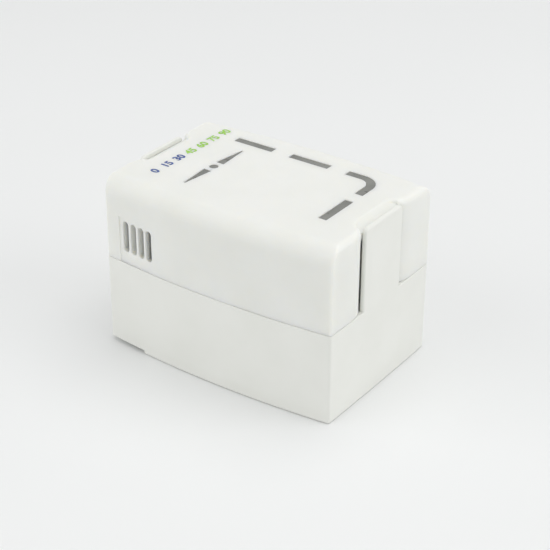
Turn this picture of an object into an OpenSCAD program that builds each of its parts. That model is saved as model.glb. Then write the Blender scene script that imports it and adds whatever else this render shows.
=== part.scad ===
// Motorised actuator head: a two-part white housing with two end latch tongues, a lit flap symbol
// on top, and inside it a motor, a three-stage spur gear train and a square quarter-turn drive.
// Millimetres. X runs along the head, +Z up, origin on the drive axis at the mounting face.

/* [Housing] */
// Length between the end corners
body_l = 108; // [106:0.5:118]
// Width between the side corners
body_w = 70; // [68:0.5:78]
// Height of the closed head
body_h = 75; // [74:0.5:84]
// Height of the base up to the seam
base_h = 39; // [38:0.5:44]
// Outward bow of each long side at its middle
side_bow = 3.2; // [2.5:0.1:5]
// Outward bow of each end at its middle
end_bow = 0.3; // [0.2:0.1:1.2]
// Wall thickness of both shells
wall = 2.5; // [2:0.1:3]
// Thickness of the base floor
floor_t = 3.5; // [3:0.1:5]
// Radius of the upright corners
corner_r = 1.2; // [0.8:0.1:2]
// Radius along the long top edges of the cover
top_r = 7.5; // [5:0.1:9]
// Radius along the end top edges of the cover
end_top_r = 2.4; // [1:0.1:3]
// Open line between base and cover
seam_gap = 0.4; // [0.2:0.05:0.8]
// Length of the raised underside at the cable end
step_l = 18.8; // [10:0.2:20]
// Height of the raised underside
step_h = 1.6; // [0.5:0.1:1.8]

/* [Latch tongues] */
// Width of each tongue
tongue_w = 26; // [20:0.5:30]
// Thickness of each tongue
tongue_t = 1.9; // [1.5:0.1:3]
// Drop of the tongue top below the cover top
tongue_drop = 0.5; // [0.4:0.1:2]
// Radius of the top corners of a tongue
tongue_corner_r = 2.6; // [1:0.1:4]
// Radius along the top outer edge of a tongue
tongue_edge_r = 0.9; // [0.5:0.1:1.3]
// Open gap at each side of a tongue
recess_gap = 1.1; // [0.8:0.1:2]
// Open gap behind a tongue
back_gap = 4.05; // [1:0.05:6]
// Radius of the upright edges at the mouth of an end recess
mouth_r = 3.1; // [2:0.1:4]

/* [Light windows] */
// Width of the symbol strokes
win_w = 3.6; // [2.5:0.1:4.5]
// Depth of the light guides below the top face
win_drop = 0.3; // [0.2:0.1:1]
// Length of one dash
dash_l = 18.5; // [16:0.1:22]
// Gap between dashes
dash_gap = 8.6; // [5:0.1:10]
// Distance of the row of dashes in from the side corner line
row_in = 12.2; // [11:0.1:15]
// Distance of the end dash in from the end corner line
row_end = 17.5; // [17:0.1:22]
// Gap between the corner stroke and the end dash
end_gap = 6.5; // [4:0.1:8]
// Length of the corner stroke along the row
leg_x = 14; // [11:0.1:16]
// Length of the corner stroke along the end
leg_y = 13.8; // [10:0.1:15]
// Bend radius of the corner stroke centre line
bend_r = 6.8; // [4:0.1:8]
// Distance of the flap symbol in from the other end corner line
flap_in = 30.3; // [28:0.1:34]
// Position of the flap pivot dot across the head
flap_y = -3.4; // [-5:0.1:2]
// Turn of the flap symbol
flap_turn = -1.7; // [-5:0.1:5]
// Diameter of the flap pivot dot
dot_d = 3.6; // [2.5:0.1:4]
// Gap between the dot and a pointer
dot_gap = 2; // [1:0.1:3]
// Length of a pointer
pointer_l = 14.5; // [12:0.1:18]
// Width of the point of a pointer
point_w = 0.6; // [0.4:0.1:1.5]
// Clearance between the plates of the two light guides
guide_split = 1.2; // [0.8:0.1:3]
// Clearance of the light guides in the cover
guide_clear = 0.08; // [0.04:0.01:0.15]
// Thickness of the light guide plates
guide_t = 1.5; // [1:0.1:2]

/* [Vent] */
// Number of vent slots
vent_n = 4; // [3:1:4]
// Width of a vent slot
vent_w = 3; // [2:0.1:3.2]
// Length of a vent slot
vent_l = 13.5; // [9:0.5:15]
// Spacing of the vent slots
vent_pitch = 4.14; // [3.9:0.02:4.3]
// Distance of the first vent slot in from the end corner line
vent_in = 10.8; // [10:0.1:12]
// Height of the middle of the vent slots above the seam
vent_up = 12; // [10:0.1:13]
// Depth of the flat at its outer edge
vent_flat = 0.35; // [0.2:0.05:0.6]

/* [Drive] */
// Square socket for the spindle, across flats
socket_af = 9.1; // [8:0.1:10]
// Depth of the square socket
socket_depth = 13; // [10:0.5:16]
// Radius of the lower journal of the drive shaft
journal_r = 8; // [7.6:0.1:9]
// Radius of the upper journal of the drive shaft
top_journal_r = 5; // [4:0.1:5.4]
// Running clearance of shafts in bushes
run_clear = 0.05; // [0.02:0.01:0.1]
// Clearance of pressed and seated parts
seat_clear = 0.03; // [0.01:0.01:0.06]
// Pitch circle of the mounting screws
mount_pcd = 36; // [34:0.5:42]
// Radius of the tapped bore of a mounting insert
insert_bore_r = 2.1; // [1.6:0.05:2.5]
// Outer radius of a mounting insert
insert_r = 3.5; // [3:0.1:3.8]

/* [Gears] */
// Teeth of the output gear
z_out = 50; // [44:1:51]
// Teeth of the second gear wheel
z_two = 40; // [34:1:42]
// Teeth of the first gear wheel
z_one = 48; // [40:1:50]
// Teeth of each pinion
z_pin = 12; // [12:1:14]
// Pressure angle of the teeth
gear_pa = 25; // [24:0.5:26]
// Play between meshing teeth at the pitch circle
backlash = 0.2; // [0.14:0.01:0.26]
// Radius of the gear pins
pin_r = 1.5; // [1:0.05:1.8]
// Direction from the drive axis to the second gear
second_dir = -26; // [-28:0.5:-22]
// Direction from the second gear to the first gear
first_dir = 78; // [74:0.5:82]
// Direction from the first gear to the motor
motor_dir = 150; // [140:1:156]

/* [Motor and boards] */
// Gap between the motor and the display board
motor_gap = 3.8; // [2:0.1:6]
// Thickness of the gear plate
plate_t = 3; // [2.6:0.1:3.4]
// Thickness of the circuit boards
board_t = 1.6; // [1:0.1:1.8]
// Height of the light sources below the light guides
led_gap = 3.4; // [2:0.1:3.8]
// Radius of the cable opening in the grommet
cable_r = 3.2; // [2.9:0.1:3.6]
// Height of the cable grommet
grommet_z = 17; // [15:0.5:19]

/* [Hidden] */
$fn = 96;
big_fn = 720;
eps = 0.01;
side_R = (body_l * body_l / 4 + side_bow * side_bow) / (2 * side_bow);
end_R = (body_w * body_w / 4 + end_bow * end_bow) / (2 * end_bow);
side_c = body_w / 2 + side_bow - side_R;
end_c = body_l / 2 + end_bow - end_R;
cover_z = base_h + seam_gap;
lip_gap = 0.25;
lip_t = 1.4;
lip_h = 2.4;
lip_root = 3.6;
recess_x = end_x(tongue_w / 2, tongue_t) - back_gap;
recess_hw = tongue_w / 2 + recess_gap;
recess_r = 0.8;
tongue_top = body_h - tongue_drop;
end_out = body_l / 2 + end_bow;
flange_t = 0.6;
axial_gap = 0.3;
plan_k = min(body_l / 108, body_w / 67);
rise_k = (base_h - lip_root - 0.4 - flange_t - axial_gap - plate_t) / 31.1;
mod_out = 1.0 * plan_k;
mod_two = 0.8 * plan_k;
mod_one = 0.6 * plan_k;
hub_top = 9.6 * rise_k;
insert_l = hub_top - 1.1;
out_w = 9 * rise_k;
out_z = hub_top + flange_t + axial_gap;
out_top = out_z + out_w;
two_z = out_top + 0.9 * rise_k;
two_w = 5 * rise_k;
one_z = two_z + two_w + rise_k;
one_w = 4.5 * rise_k;
plate_z = one_z + one_w + 1.1 * rise_k;
plate_top = plate_z + plate_t;
cd_out = mod_out * (z_out + z_pin) / 2;
cd_two = mod_two * (z_two + z_pin) / 2;
cd_one = mod_one * (z_one + z_pin) / 2;
two_at = cd_out * [cos(second_dir), sin(second_dir)];
one_at = two_at + cd_two * [cos(first_dir), sin(first_dir)];
motor_at = one_at + cd_one * [cos(motor_dir), sin(motor_dir)];
two_pin_turn = second_dir + 180 + second_dir * z_out / z_pin + 180 / z_pin;
one_pin_turn = first_dir + 180 + first_dir * z_two / z_pin + 180 / z_pin;
motor_turn = motor_dir + 180 + motor_dir * z_one / z_pin + 180 / z_pin;
bush_r = journal_r + 2;
top_bush_r = top_journal_r + 2;
gear_hex_r = journal_r - 0.5;
clip_t = 0.8;
shaft_top = plate_top + 1;
magnet_t = 2;
chip_z = shaft_top + magnet_t + 0.8;
pos_board_z = chip_z + 1.2;
motor_face = atan2(motor_at[1], motor_at[0]);
pos_dir = motor_face + 90;
cap_t = 3;
guide_top = body_h - wall;
led_t = 1.2;
board_top = guide_top - guide_t - led_gap - led_t;
board_z = board_top - board_t;
motor_r = 12 * plan_k;
motor_l = board_z - plate_top - cap_t - motor_gap;
motor_screw_x = 8.5 * plan_k;
motor_tab_x = 8 * plan_k;
board_x1 = recess_x - wall - 2;
board_x0 = -board_x1;
board_y0 = -body_w / 2 + 3.5;
board_y1 = body_w / 2 - 3.5;
sense_x0 = board_x0 - 2;
sense_x1 = board_x0 + 9.5;
sense_y = board_y0 + 3;
plate_x0 = -21.5 * plan_k;
plate_x1 = body_l / 2 - 3.6;
plate_hw = body_w / 2 - 3.5;
post_x0 = -17 * plan_k;
post_x1 = body_l / 2 - 7.5;
post_y0 = body_w / 2 - 6.5;
post_y1 = body_w / 2 - 8;
post_at = [[post_x0, -post_y0], [post_x0, post_y0], [post_x1, -post_y1], [post_x1, post_y1]];
post_r = 3.4;
stud_r = 1.5;
spacer_r = 3.4;
sup_x0 = -body_l / 2 + 4.2;
sup_x1 = -29.5 * plan_k;
sup_w = sup_x1 - sup_x0;
sup_hw = body_w / 2 - 7.5;
sup_z = floor_t + 3.5;
grommet_y = -0.346 * sup_hw;
term_x = sup_x0 + 0.148 * sup_w;
term_d = 0.394 * sup_w;
term_pitch = 0.1923 * sup_hw;
cap_r = 0.2 * sup_w;
cap_at = [sup_x1 - cap_r - 0.6, -0.79 * sup_hw];
sup_top = sup_z + board_t;
sup_screw_at = [[sup_x0 + 3, -sup_hw + 3], [sup_x0 + 3, sup_hw - 3]];
mount_at = [for (a = [45:90:315]) mount_pcd / 2 * [cos(a), sin(a)]];
grommet_x = -(end_c + sqrt(end_R * end_R - grommet_y * grommet_y));
row_y = body_w / 2 - row_in;
row_x = body_l / 2 - row_end;
end_y = row_y - leg_y - end_gap - dash_l / 2;
flap_x = -body_l / 2 + flap_in;
flap_reach = dot_d / 2 + dot_gap + pointer_l;
plate_half = 4;
plate_over = 2.7;
vent_x = -body_l / 2 + vent_in;
vent_z = base_h + vent_up;
vent_x0 = vent_x - 3.4;
vent_x1 = vent_x + vent_pitch * (vent_n - 1) + 4;
vent_top = vent_z + vent_l / 2 + 1.7;

function side_y(x, d) = side_c + sqrt((side_R - d) * (side_R - d) - x * x);
function end_x(y, d) = end_c + sqrt((end_R - d) * (end_R - d) - y * y);
function corner_x(d, n) = n == 0 ? body_l / 2 - d : end_x(side_y(corner_x(d, n - 1), d), d);

// Upright prism with the bowed plan of the head, set in by d
module plan_prism(d, z0, z1) {
    translate([0, 0, z0])
        intersection() {
            translate([0, side_c, 0])
                cylinder(r = side_R - d, h = z1 - z0, $fn = big_fn);
            translate([0, -side_c, 0])
                cylinder(r = side_R - d, h = z1 - z0, $fn = big_fn);
            translate([end_c, 0, 0])
                cylinder(r = end_R - d, h = z1 - z0, $fn = big_fn);
            translate([-end_c, 0, 0])
                cylinder(r = end_R - d, h = z1 - z0, $fn = big_fn);
        }
}

// Disc with a rounded top edge, one side of the cover
module round_disc(r, h, edge) {
    rotate_extrude($fn = big_fn)
        union() {
            square([r, h - edge]);
            square([r - edge, h]);
            translate([r - edge, h - edge])
                circle(edge);
        }
}

// Cover form with rounded top edges, set in by d
module cover_form(d, z0, z1, side_edge, end_edge) {
    translate([0, 0, z0])
        intersection() {
            translate([0, side_c, 0])
                round_disc(side_R - d, z1 - z0, side_edge);
            translate([0, -side_c, 0])
                round_disc(side_R - d, z1 - z0, side_edge);
            translate([end_c, 0, 0])
                round_disc(end_R - d, z1 - z0, end_edge);
            translate([-end_c, 0, 0])
                round_disc(end_R - d, z1 - z0, end_edge);
        }
}

// Material taken off the four upright corners
module corner_cuts(z0, z1) {
    cx = corner_x(corner_r, 5);
    cy = side_y(cx, corner_r);
    a1 = atan2(cy - side_c, cx);
    a2 = atan2(cy, cx - end_c);
    am = (a1 + a2) / 2;
    for (mx = [0, 1], my = [0, 1])
        mirror([mx, 0, 0])
            mirror([0, my, 0])
                translate([cx, cy, z0])
                    linear_extrude(z1 - z0)
                        difference() {
                            polygon([
                                [0, 0], 3 * corner_r * [cos(a2), sin(a2)],
                                5 * corner_r * [cos(am), sin(am)], 3 * corner_r * [cos(a1), sin(a1)]
                            ]);
                            circle(corner_r + 0.02);
                        }
}

// Plan of one end recess, grown by g
module recess_plan(g) {
    r = recess_r + g;
    x0 = recess_x - g;
    hw = recess_hw + g;
    translate([x0 + r, -hw])
        square([20, 2 * hw]);
    translate([x0, -hw + r])
        square([20, 2 * (hw - r)]);
    for (s = [-1, 1])
        translate([x0 + r, s * (hw - r)])
            circle(r);
}

// The two end recesses as solids between two heights
module recesses(g, z0, z1, x1) {
    for (m = [0, 1])
        mirror([m, 0, 0])
            intersection() {
                translate([0, 0, z0])
                    linear_extrude(z1 - z0)
                        recess_plan(g);
                translate([0, -body_w / 2, z0 - 1])
                    cube([x1, body_w, z1 - z0 + 2]);
            }
}

// Material taken off the upright edges at the mouths of the recesses
module mouth_cuts(z0, z1) {
    cy = recess_hw + mouth_r;
    cx = end_x(cy, mouth_r);
    for (mx = [0, 1], my = [0, 1])
        mirror([mx, 0, 0])
            mirror([0, my, 0])
                translate([cx, cy, z0])
                    linear_extrude(z1 - z0)
                        difference() {
                            translate([0, -mouth_r - 1])
                                square([mouth_r + 2, mouth_r + 1]);
                            circle(mouth_r + 0.02);
                        }
}

// One stroke of the dashed symbol
module bar(cx, cy, lx, ly, g) {
    translate([cx - lx / 2 - g, cy - ly / 2 - g])
        square([lx + 2 * g, ly + 2 * g]);
}

// Plan of the dashed strokes, grown by g
module frame_strokes(g) {
    x2 = row_x - leg_x - dash_gap - dash_l / 2;
    bar(x2, row_y, dash_l, win_w, g);
    bar(x2 - dash_l - dash_gap, row_y, dash_l, win_w, g);
    bar(row_x, end_y, win_w, dash_l, g);
    corner_stroke(g);
}

// Plan of the stroke that turns the corner
module corner_stroke(g) {
    bx = row_x - bend_r;
    by = row_y - bend_r;
    x0 = row_x - leg_x - g;
    y0 = row_y - leg_y - g;
    ro = bend_r + win_w / 2 + g;
    ri = bend_r - win_w / 2 - g;
    translate([x0, row_y - win_w / 2 - g])
        square([bx - x0, win_w + 2 * g]);
    translate([row_x - win_w / 2 - g, y0])
        square([win_w + 2 * g, by - y0]);
    translate([bx, by])
        intersection() {
            difference() {
                circle(ro);
                circle(ri);
            }
            square([ro + 1, ro + 1]);
        }
}

// Plan of the flap pointers and the pivot dot, grown by g
module flap_strokes(g) {
    y0 = dot_d / 2 + dot_gap;
    translate([flap_x, flap_y])
        rotate(flap_turn) {
            circle(dot_d / 2 + g);
            for (s = [-1, 1])
                polygon([
                    [-win_w / 2 - g, s * (y0 - g)], [win_w / 2 + g, s * (y0 - g)],
                    [point_w / 2 + g, s * (y0 + pointer_l + g)], [-point_w / 2 - g, s * (y0 + pointer_l + g)]
                ]);
        }
}

function inv_deg(a) = tan(a) * 180 / PI - a;
function half_deg(m, z, r) = let (rp = m * z / 2, rb = rp * cos(gear_pa))
    90 / z - backlash / 4 / rp * 180 / PI + inv_deg(gear_pa) - inv_deg(acos(min(1, rb / r)));
function at(r, a) = [r * cos(a), r * sin(a)];
function gear_pts(m, z) = let (
    rp = m * z / 2,
    rb = rp * cos(gear_pa),
    ra = rp + 0.95 * m,
    rf = rp - 1.2 * m,
    r0 = max(rb, rf),
    h0 = half_deg(m, z, r0),
    n = 4,
    root = rf < rb ? [1] : []
) [for (i = [0:z - 1]) each concat(
    [for (k = root) at(rf, 360 * i / z - h0)],
    [for (k = [0:n]) let (r = r0 + (ra - r0) * k / n) at(r, 360 * i / z - half_deg(m, z, r))],
    [for (k = [n:-1:0]) let (r = r0 + (ra - r0) * k / n) at(r, 360 * i / z + half_deg(m, z, r))],
    [for (k = root) at(rf, 360 * i / z + h0)]
)];

// Spur gear blank with involute teeth, turned by a
module spur(m, z, a, z0, w) {
    translate([0, 0, z0])
        linear_extrude(w)
            rotate(a)
                polygon(gear_pts(m, z));
}

// Box between two corners
module box(a, b) {
    translate(a)
        cube(b - a);
}

// Tube standing on z0
module tube(ro, ri, z0, h) {
    translate([0, 0, z0])
        difference() {
            cylinder(r = ro, h = h);
            translate([0, 0, -1])
                cylinder(r = ri, h = h + 2);
        }
}

// Pan head screw pointing down, head seat at z = 0
module screw(r, l, head_r, head_h) {
    translate([0, 0, -l])
        cylinder(r = r, h = l + eps);
    difference() {
        cylinder(r = head_r, h = head_h);
        translate([0, 0, head_h * 0.45])
            for (a = [0, 90])
                rotate(a)
                    translate([-head_r * 0.6, -head_r * 0.13, 0])
                        cube([head_r * 1.2, head_r * 0.26, head_h]);
    }
}

// White lower half: floor with drive hub, posts, locating lip and end shelves
module base_shell() {
    color([0.93, 0.93, 0.91])
    difference() {
        union() {
            difference() {
                plan_prism(0, 0, base_h);
                plan_prism(wall, floor_t, base_h + 1);
                corner_cuts(-1, base_h + 1);
            }
            base_lip();
            base_shelves();
            base_bosses();
        }
        box([-body_l, -body_w, -1], [-body_l / 2 + step_l, body_w, step_h]);
        translate([0, 0, -1])
            cylinder(r = journal_r + 0.4, h = 20);
        translate([0, 0, 0.8])
            cylinder(r = bush_r + seat_clear, h = 20);
        for (p = mount_at)
            translate([p[0], p[1], -1])
                cylinder(r = insert_r + seat_clear, h = insert_l + 1.1);
        for (p = post_at)
            translate([p[0], p[1], plate_z - 10])
                cylinder(r = stud_r + seat_clear, h = 11);
        translate([two_at[0], two_at[1], floor_t - 1.2])
            cylinder(r = pin_r + seat_clear, h = 40);
        translate([one_at[0], one_at[1], floor_t - 1.2])
            cylinder(r = pin_r + seat_clear, h = 40);
        for (p = sup_screw_at)
            translate([p[0], p[1], floor_t - 0.2])
                cylinder(r = 1.2, h = 10);
        seal_groove();
        translate([grommet_x - 1, grommet_y, grommet_z])
            rotate([0, 90, 0])
                cylinder(r = 5.5, h = 8);
        translate([grommet_x - 1, grommet_y, grommet_z])
            rotate([0, 90, 0])
                cylinder(r = 7.6, h = 2.2);
    }
}

// Locating lip inside the seam, left open at the end recesses
module base_lip() {
    li = wall + lip_gap;
    difference() {
        union() {
            difference() {
                plan_prism(li, base_h - lip_root, base_h + lip_h);
                plan_prism(li + lip_t, base_h - lip_root - 1, base_h + lip_h + 1);
            }
            difference() {
                plan_prism(wall - 0.6, base_h - lip_root, base_h);
                plan_prism(li + lip_t - 0.4, base_h - lip_root - 1, base_h + 1);
            }
        }
        recesses(wall + 0.6, base_h, base_h + 10, body_l);
    }
}

// Shelves that close the end recesses from below
module base_shelves() {
    recesses(wall + 0.5, base_h - 2.6, base_h, body_l / 2 - 0.8);
}

// Drive hub, insert bosses, gear pin bosses, plate posts and board feet
module base_bosses() {
    cylinder(r = bush_r + 3, h = hub_top);
    for (p = mount_at)
        translate([p[0], p[1], 0])
            cylinder(r = insert_r + 1.7, h = hub_top);
    for (a = [45:90:315])
        rotate(a)
            box([bush_r + 1, -0.9, floor_t - 1], [mount_pcd / 2 + 9, 0.9, 7.4]);
    translate([two_at[0], two_at[1], floor_t - 1])
        cylinder(r = pin_r + 2.4, h = out_z - axial_gap - 0.4 - floor_t + 1);
    translate([one_at[0], one_at[1], floor_t - 1])
        cylinder(r = pin_r + 2.4, h = two_z - axial_gap - floor_t + 1);
    for (p = post_at)
        translate([p[0], p[1], floor_t - 1])
            cylinder(r = post_r, h = plate_z - floor_t + 1);
    for (p = sup_screw_at)
        translate([p[0], p[1], floor_t - 1])
            cylinder(r = 2.6, h = sup_z - floor_t + 1);
    for (y = [-sup_hw + 3, sup_hw - 3])
        translate([sup_x1 - 3, y, floor_t - 1])
            cylinder(r = 2.2, h = sup_z - floor_t + 1);
}

// Plan ring that follows the lower edge of the cover
module seal_ring(d0, d1, z0, z1) {
    difference() {
        plan_prism(d0, z0, z1);
        plan_prism(d1, z0 - 1, z1 + 1);
        recesses(d1, z0 - 1, z1 + 1, body_l);
    }
    for (m = [0, 1])
        mirror([m, 0, 0])
            intersection() {
                difference() {
                    translate([0, 0, z0])
                        linear_extrude(z1 - z0)
                            recess_plan(d1);
                    translate([0, 0, z0 - 1])
                        linear_extrude(z1 - z0 + 2)
                            recess_plan(d0);
                }
                plan_prism(d0, z0, z1);
            }
}

module seal_groove() {
    seal_ring(0.95, 2.05, base_h - 0.5, base_h + 0.1);
}

// Grey rubber cord between base and cover
module cover_seal() {
    color([0.8, 0.8, 0.78])
    seal_ring(1.0, 2.0, base_h - 0.5, cover_z);
}

// Brass threaded inserts for the mounting screws
module mounting_inserts() {
    color([0.8, 0.65, 0.3])
    for (p = mount_at)
        translate([p[0], p[1], 0])
            difference() {
                union() {
                    tube(insert_r, insert_bore_r, 0, insert_l * 0.4);
                    tube(insert_r - 0.3, insert_bore_r, insert_l * 0.4 - eps, insert_l * 0.2 + 2 * eps);
                    tube(insert_r, insert_bore_r, insert_l * 0.6, insert_l * 0.4);
                }
                translate([0, 0, -eps])
                    cylinder(r1 = insert_bore_r + 0.3, r2 = insert_bore_r - 0.1, h = 0.4);
            }
}

// Rubber cable grommet, flush in the cable end of the base
module cable_grommet() {
    color([0.2, 0.2, 0.2])
    translate([grommet_x, grommet_y, grommet_z])
        rotate([0, 90, 0])
            difference() {
                union() {
                    translate([0, 0, 0.25])
                        cylinder(r = 7.4, h = 0.95);
                    translate([0, 0, 1])
                        cylinder(r = 5.4, h = 2.6);
                    translate([0, 0, 2.9])
                        cylinder(r = 7, h = 1.6);
                }
                translate([0, 0, -1])
                    cylinder(r = cable_r, h = 8);
            }
}

// Grey upper plate of the gear train
module gear_plate() {
    color([0.45, 0.47, 0.5])
    difference() {
        union() {
            box([plate_x0, -plate_hw, plate_z], [plate_x1, plate_hw, plate_top]);
            rotate(pos_dir)
                for (s = [-1, 1])
                    translate([s * 8, 0, plate_top - eps])
                        cylinder(r = 2.4, h = pos_board_z - plate_top + eps);
        }
        translate([0, 0, plate_z - 1])
            cylinder(r = top_bush_r + seat_clear, h = plate_t + 2);
        for (p = [two_at, one_at])
            translate([p[0], p[1], plate_z - 1])
                cylinder(r = pin_r + seat_clear, h = plate_t + 2);
        for (p = post_at)
            translate([p[0], p[1], plate_z - 1])
                cylinder(r = stud_r + 0.1, h = plate_t + 2);
        translate([motor_at[0], motor_at[1], plate_z - 1]) {
            cylinder(r = 5.2, h = plate_t + 2);
            rotate(motor_face)
                for (s = [-1, 1])
                    translate([s * motor_screw_x, 0, 0]) {
                        cylinder(r = 1.1, h = plate_t + 2);
                        cylinder(r = 2.2, h = 2.4);
                    }
        }
        rotate(pos_dir)
            for (s = [-1, 1])
                translate([s * 8, 0, plate_top])
                    cylinder(r = 0.9, h = 10);
        box(plan_k * [-15, -10, 0] + [0, 0, plate_z - 1], plan_k * [-10, 10, 0] + [0, 0, plate_top + 1]);
        box(plan_k * [-1, -25, 0] + [0, 0, plate_z - 1], plan_k * [9, -20, 0] + [0, 0, plate_top + 1]);
    }
}

// Flanged bush that carries the drive shaft in the floor
module lower_bush() {
    color([0.75, 0.6, 0.35])
    tube(bush_r, journal_r + run_clear, 2.5, hub_top - 2.5 + eps);
    color([0.75, 0.6, 0.35])
    tube(bush_r + 2, journal_r + run_clear, hub_top, flange_t);
}

// Flanged bush that carries the drive shaft in the gear plate
module upper_bush() {
    color([0.75, 0.6, 0.35])
    tube(top_bush_r, top_journal_r + run_clear, plate_z - 0.7, plate_t + 0.7);
    color([0.75, 0.6, 0.35])
    tube(top_bush_r + 1.5, top_journal_r + run_clear, plate_z - 0.7, 0.7);
}

// Rubber ring that wipes the drive shaft below the bush
module shaft_seal() {
    color([0.15, 0.15, 0.15])
    tube(bush_r, journal_r + run_clear, 0.9, 1.55);
}

module gear_pin(p, z0, z1) {
    translate([p[0], p[1], z0])
        cylinder(r = pin_r, h = z1 - z0);
}

module second_gear_pin() {
    color([0.75, 0.75, 0.77])
    gear_pin(two_at, floor_t - 1.2, plate_top + 0.4);
}

module first_gear_pin() {
    color([0.75, 0.75, 0.77])
    gear_pin(one_at, floor_t - 1.2, plate_top + 0.4);
}

// Drawn steel can of the motor
module motor_can() {
    color([0.72, 0.73, 0.75])
    translate([motor_at[0], motor_at[1], 0])
        difference() {
            union() {
                translate([0, 0, plate_top])
                    cylinder(r = motor_r, h = motor_l);
                translate([0, 0, plate_top - 1.5])
                    cylinder(r = 3.4, h = 2);
            }
            translate([0, 0, plate_top - 3])
                cylinder(r = 1.4, h = motor_l + 2);
            rotate(motor_face)
                for (s = [-1, 1])
                    translate([s * motor_screw_x, 0, plate_top - 1])
                        cylinder(r = 1.1, h = 4);
        }
}

// Plastic brush cap that closes the motor can
module motor_end_cap() {
    color([0.15, 0.15, 0.17])
    translate([motor_at[0], motor_at[1], plate_top + motor_l])
        difference() {
            union() {
                cylinder(r = motor_r - 0.6, h = cap_t * 0.6);
                cylinder(r = 5, h = cap_t);
            }
            for (s = [-1, 1])
                translate([s * motor_tab_x - 0.4, -1.3, -1])
                    cube([0.8, 2.6, 6]);
        }
}

// Two motor tabs soldered through the display board
module motor_terminals() {
    color([0.8, 0.8, 0.78])
    for (s = [-1, 1])
        translate([motor_at[0] + s * motor_tab_x - 0.3, motor_at[1] - 1.1, plate_top + motor_l])
            cube([0.6, 2.2, board_top + 0.8 - plate_top - motor_l]);
}

// Two screws that hold the motor from below the plate
module motor_screws() {
    color([0.6, 0.6, 0.62])
    translate([motor_at[0], motor_at[1], plate_z + 1.4])
        rotate(motor_face)
            for (s = [-1, 1])
                translate([s * motor_screw_x, 0, 0])
                    rotate([180, 0, 0])
                        screw(1, plate_t + 0.8, 2, 1.2);
}

// Hex spacers that clamp the gear plate and carry the display board
module board_spacers() {
    color([0.78, 0.7, 0.45])
    for (p = post_at)
        translate([p[0], p[1], 0])
            difference() {
                union() {
                    translate([0, 0, plate_top])
                        cylinder(r = spacer_r, h = board_z - plate_top, $fn = 6);
                    translate([0, 0, plate_z - 9])
                        cylinder(r = stud_r, h = plate_t + 9 + eps);
                }
                translate([0, 0, board_z - 7])
                    cylinder(r = stud_r + seat_clear, h = 8);
            }
}

// Small board that reads the drive shaft position
module position_board() {
    color([0.1, 0.35, 0.2])
    rotate(pos_dir)
        difference() {
            box([-10.5, -5, pos_board_z], [10.5, 5, pos_board_z + 1.2]);
            for (s = [-1, 1])
                translate([s * 8, 0, pos_board_z - 1])
                    cylinder(r = 1.1, h = 4);
            for (k = [-1, 0, 1])
                translate([k * 2.54, 3, pos_board_z - 1])
                    cylinder(r = 0.5, h = 4);
        }
}

module position_chip() {
    color([0.12, 0.12, 0.12])
    rotate(pos_dir)
        box([-2.5, -2, chip_z], [2.5, 2, pos_board_z]);
}

module position_board_screws() {
    color([0.6, 0.6, 0.62])
    rotate(pos_dir)
        for (s = [-1, 1])
            translate([s * 8, 0, pos_board_z + 1.2])
                screw(0.85, 4.5, 1.9, 1.2);
}

// Pins that link the position board to the display board
module position_header() {
    color([0.82, 0.7, 0.35])
    rotate(pos_dir)
        for (k = [-1, 0, 1])
            translate([k * 2.54, 3, pos_board_z - 0.4])
                cylinder(r = 0.4, h = board_top + 0.8 - pos_board_z + 0.4);
    color([0.12, 0.12, 0.12])
    rotate(pos_dir)
        box([-3.8, 1.8, pos_board_z + 1.2], [3.8, 4.2, pos_board_z + 3.6]);
}

// Lower board with the supply parts at the cable end
module supply_board() {
    color([0.1, 0.35, 0.2])
    difference() {
        box([sup_x0, -sup_hw, sup_z], [sup_x1, sup_hw, sup_top]);
        for (p = sup_screw_at)
            translate([p[0], p[1], sup_z - 1])
                cylinder(r = 1.5, h = 4);
    }
}

module supply_board_screws() {
    color([0.6, 0.6, 0.62])
    for (p = sup_screw_at)
        translate([p[0], p[1], sup_top])
            screw(1.15, sup_top - floor_t, 2.3, 1.4);
}

// Four-way screw terminal facing the grommet
module terminal_block() {
    color([0.25, 0.5, 0.3])
    translate([term_x, grommet_y, sup_top])
        difference() {
            union() {
                box([0, -2.04 * term_pitch, 0], [term_d, 2.04 * term_pitch, 7]);
                box([1, -2.04 * term_pitch, 6.5], [term_d, 2.04 * term_pitch, 10]);
            }
            for (k = [-1.5:1:1.5])
                translate([0, k * term_pitch, 0]) {
                    box([-1, -0.34 * term_pitch, 1.2], [0.62 * term_d, 0.34 * term_pitch, 4.6]);
                    translate([0.575 * term_d, 0, 6])
                        cylinder(r = 0.38 * term_pitch, h = 6);
                }
        }
}

module terminal_screws() {
    color([0.75, 0.75, 0.77])
    for (k = [-1.5:1:1.5])
        translate([term_x + 0.575 * term_d, grommet_y + k * term_pitch, sup_top + 6])
            difference() {
                cylinder(r = 0.38 * term_pitch - 0.1, h = 2);
                box([-2, -0.3, 1.2], [2, 0.3, 3]);
            }
}

// Sealed supply module
module power_module() {
    color([0.13, 0.13, 0.15])
    box([sup_x0 + 0.1 * sup_w, 0.16 * sup_hw, sup_top], [sup_x0 + 0.75 * sup_w, 0.76 * sup_hw, sup_top + 17]);
}

// Smoothing capacitor
module supply_capacitor() {
    color([0.15, 0.2, 0.4])
    translate([cap_at[0], cap_at[1], sup_top])
        cylinder(r = cap_r, h = 13);
}

// Flat cable from the supply board up to the display board
module ribbon_cable() {
    color([0.6, 0.6, 0.62])
    translate([sup_x1 - 2, -4.4, 0])
        rotate([90, 0, 0])
            translate([0, 0, -10.5])
                linear_extrude(10.5)
                    polygon(concat(
                        [for (i = [0:24]) ribbon_pt(i / 24, -0.4)],
                        [for (i = [24:-1:0]) ribbon_pt(i / 24, 0.4)]
                    ));
}

function ribbon_pt(t, o) = [
    -2.4 * sin(180 * t) * sin(180 * t) + o,
    sup_top + 5 + (board_z - sup_top - 10) * t
];

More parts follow.
